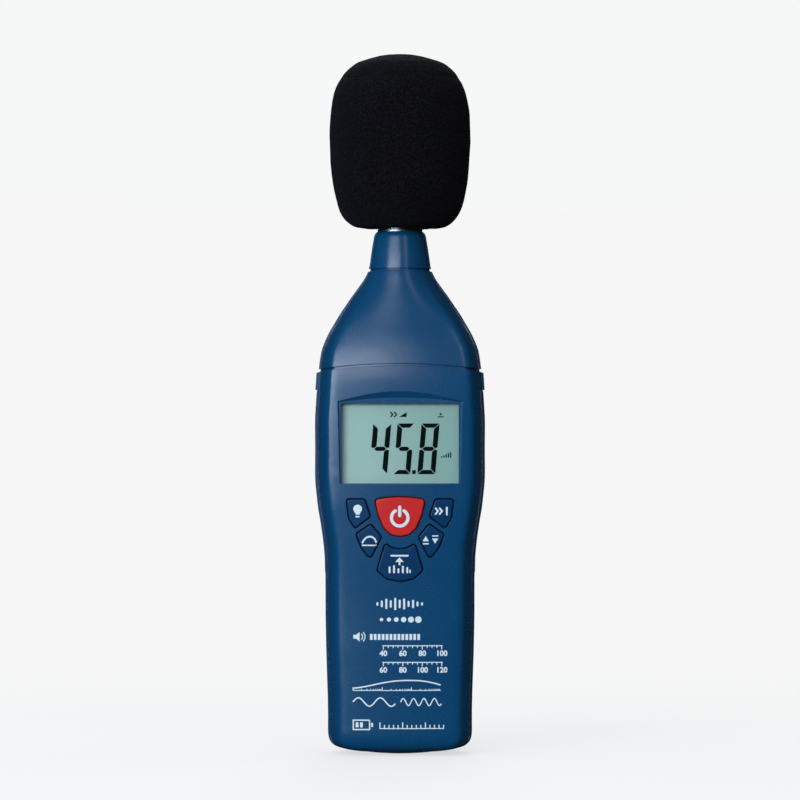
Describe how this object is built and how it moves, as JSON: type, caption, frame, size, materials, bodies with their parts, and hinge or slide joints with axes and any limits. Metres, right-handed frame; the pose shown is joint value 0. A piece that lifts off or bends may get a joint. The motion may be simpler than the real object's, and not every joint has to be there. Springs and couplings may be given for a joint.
{
  "type": "sound level meter",
  "caption": "Hand-held sound level meter with a foam windscreen over its microphone, a recessed display, shaped keys, a sliding battery door and a tripod socket.",
  "frame": {"origin": "middle of the case at its lowest point, on the parting plane and under the microphone axis", "axes": "+Z along the length, towards the microphone; -Y out of the display; +X to the right when facing the display"},
  "size_m": [0.0548, 0.0454, 0.2248],
  "materials": {
    "foam": "open-cell acoustic foam",
    "bright_metal": "polished plating",
    "satin_metal": "satin turned",
    "capsule_metal": "satin",
    "black_plastic": "fine texture",
    "circuit_board": "solder mask",
    "chip_black": "moulded",
    "lead_red": "smooth insulation",
    "case_blue": "fine spark-eroded texture",
    "grip_rubber": "ribbed, matt",
    "clear_window": "polished",
    "black_rubber": "matt",
    "lcd_cell": "display cell",
    "white_plastic": "smooth",
    "zebra_rubber": "striped",
    "key_red": "fine texture",
    "key_blue": "fine texture",
    "grey_rubber": "silicone",
    "dome_steel": "stamped",
    "capacitor_can": "sleeve",
    "tin_steel": "tinned",
    "small_part": "ceramic and film",
    "trimmer_blue": "moulded",
    "brass": "turned",
    "zinc_screw": "zinc plated",
    "battery_jacket": "printed steel jacket",
    "grey_foam": "soft foam",
    "label_silver": "satin foil"
  },
  "bodies": {
    "case": {"mic_collar_ring": "bright_metal", "mic_tube": "satin_metal", "mic_grid": "satin_metal", "mic_capsule": "capsule_metal", "mic_insulator": "black_plastic", "mic_preamp_board": "circuit_board", "mic_preamp_parts": "chip_black", "mic_leads": "lead_red", "front_shell": "case_blue", "rear_shell": "case_blue", "grip_left": "grip_rubber", "grip_right": "grip_rubber", "lcd_window": "clear_window", "lcd_gasket": "black_rubber", "lcd_glass": "lcd_cell", "lcd_reflector": "white_plastic", "lcd_bezel": "black_plastic", "lcd_connectors": "zebra_rubber", "keypad_web": "grey_rubber", "key_domes": "dome_steel", "main_board": "circuit_board", "processor_chip": "chip_black", "analog_chips": "chip_black", "capacitors": "capacitor_can", "crystal_can": "tin_steel", "small_parts": "small_part", "shield_can": "tin_steel", "wire_sockets": "white_plastic", "trimmer_body": "trimmer_blue", "board_screws": "zinc_screw", "case_screws": "zinc_screw", "battery": "battery_jacket", "battery_terminals": "tin_steel", "battery_snap": "black_plastic", "battery_leads": "lead_red", "battery_pad": "grey_foam", "tripod_insert": "brass", "rear_label": "label_silver"},
    "windscreen_body": {"windscreen": "foam"},
    "power_key_body": {"power_key": "key_red"},
    "backlight_key_body": {"backlight_key": "key_blue"},
    "response_key_body": {"response_key": "key_blue"},
    "weighting_key_body": {"weighting_key": "key_blue"},
    "range_key_body": {"range_key": "key_blue"},
    "max_hold_key_body": {"max_hold_key": "key_blue"},
    "door_body": {"battery_door": "case_blue"},
    "trimmer_body_turn": {"trimmer_rotor": "brass"}
  },
  "joints": [
    {"name": "windscreen_pull", "type": "slide", "parent": "case", "child": "windscreen_body", "axis": [0, 0, 1], "range_m": [0, 0.045]},
    {"name": "power_press", "type": "slide", "parent": "case", "child": "power_key_body", "axis": [0, 1, 0], "range_m": [0, 0.0007], "stiffness_N_per_m": 60},
    {"name": "backlight_press", "type": "slide", "parent": "case", "child": "backlight_key_body", "axis": [0, 1, 0], "range_m": [0, 0.0007], "stiffness_N_per_m": 60},
    {"name": "response_press", "type": "slide", "parent": "case", "child": "response_key_body", "axis": [0, 1, 0], "range_m": [0, 0.0007], "stiffness_N_per_m": 60},
    {"name": "weighting_press", "type": "slide", "parent": "case", "child": "weighting_key_body", "axis": [0, 1, 0], "range_m": [0, 0.0007], "stiffness_N_per_m": 60},
    {"name": "range_press", "type": "slide", "parent": "case", "child": "range_key_body", "axis": [0, 1, 0], "range_m": [0, 0.0007], "stiffness_N_per_m": 60},
    {"name": "max_hold_press", "type": "slide", "parent": "case", "child": "max_hold_key_body", "axis": [0, 1, 0], "range_m": [0, 0.0007], "stiffness_N_per_m": 60},
    {"name": "door_slide", "type": "slide", "parent": "case", "child": "door_body", "axis": [0, 0, -1], "range_m": [0, 0.05]},
    {"name": "trimmer_turn", "type": "hinge", "parent": "case", "child": "trimmer_body_turn", "pos_m": [0.009, 0.004, 0.111], "axis": [0, 1, 0], "range_deg": [-130, 130]}
  ]
}
